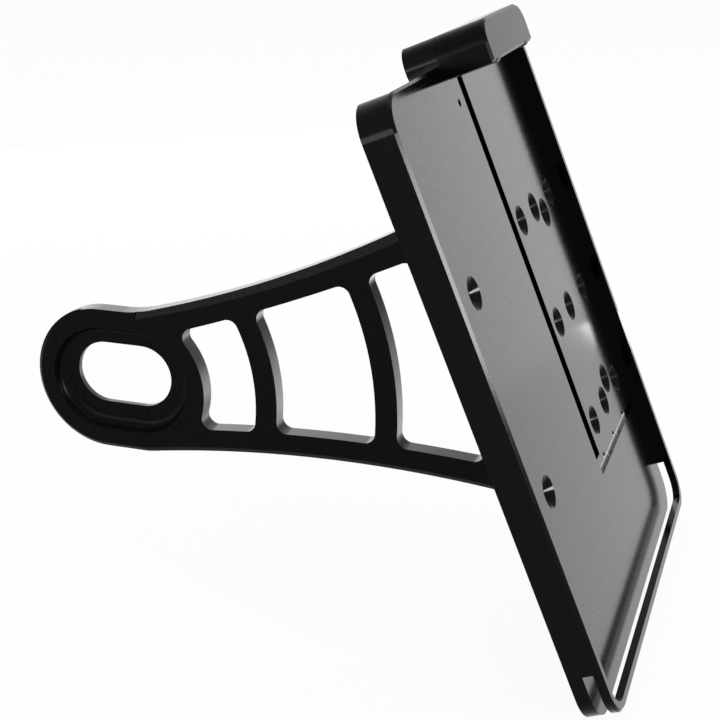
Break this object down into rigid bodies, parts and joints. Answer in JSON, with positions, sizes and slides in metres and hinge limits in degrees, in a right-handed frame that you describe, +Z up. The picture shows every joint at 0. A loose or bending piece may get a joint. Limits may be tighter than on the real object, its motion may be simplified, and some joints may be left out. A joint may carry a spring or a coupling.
{
  "type": "side mount license plate holder",
  "caption": "Milled side arm with an axle slot that carries a framed, leaning number plate tray with a small plate light on its top wall.",
  "frame": {"origin": "centre of the axle slot on the arm's seat face", "axes": "+X rearwards along the axle slot, +Y along the axle from the arm's recessed side to the tray's far side, +Z up"},
  "size_m": [0.2281, 0.188, 0.2288],
  "materials": {
    "anodised_tray": "black anodised, fine satin",
    "anodised_arm": "black anodised, fine satin",
    "anodised_light": "black anodised, fine satin",
    "black_steel": "black oxide",
    "bright_steel": "zinc plated",
    "clear_lens": "clear moulded plastic, polished",
    "board": "solder mask",
    "chips": "yellow phosphor over a white body"
  },
  "bodies": {
    "root": {"plate_tray": "anodised_tray", "side_arm": "anodised_arm", "arm_screws": "black_steel", "light_housing": "anodised_light", "light_screws": "black_steel", "light_lens": "clear_lens", "light_board": "board", "light_chips": "chips", "board_screws": "bright_steel"}
  },
  "joints": []
}
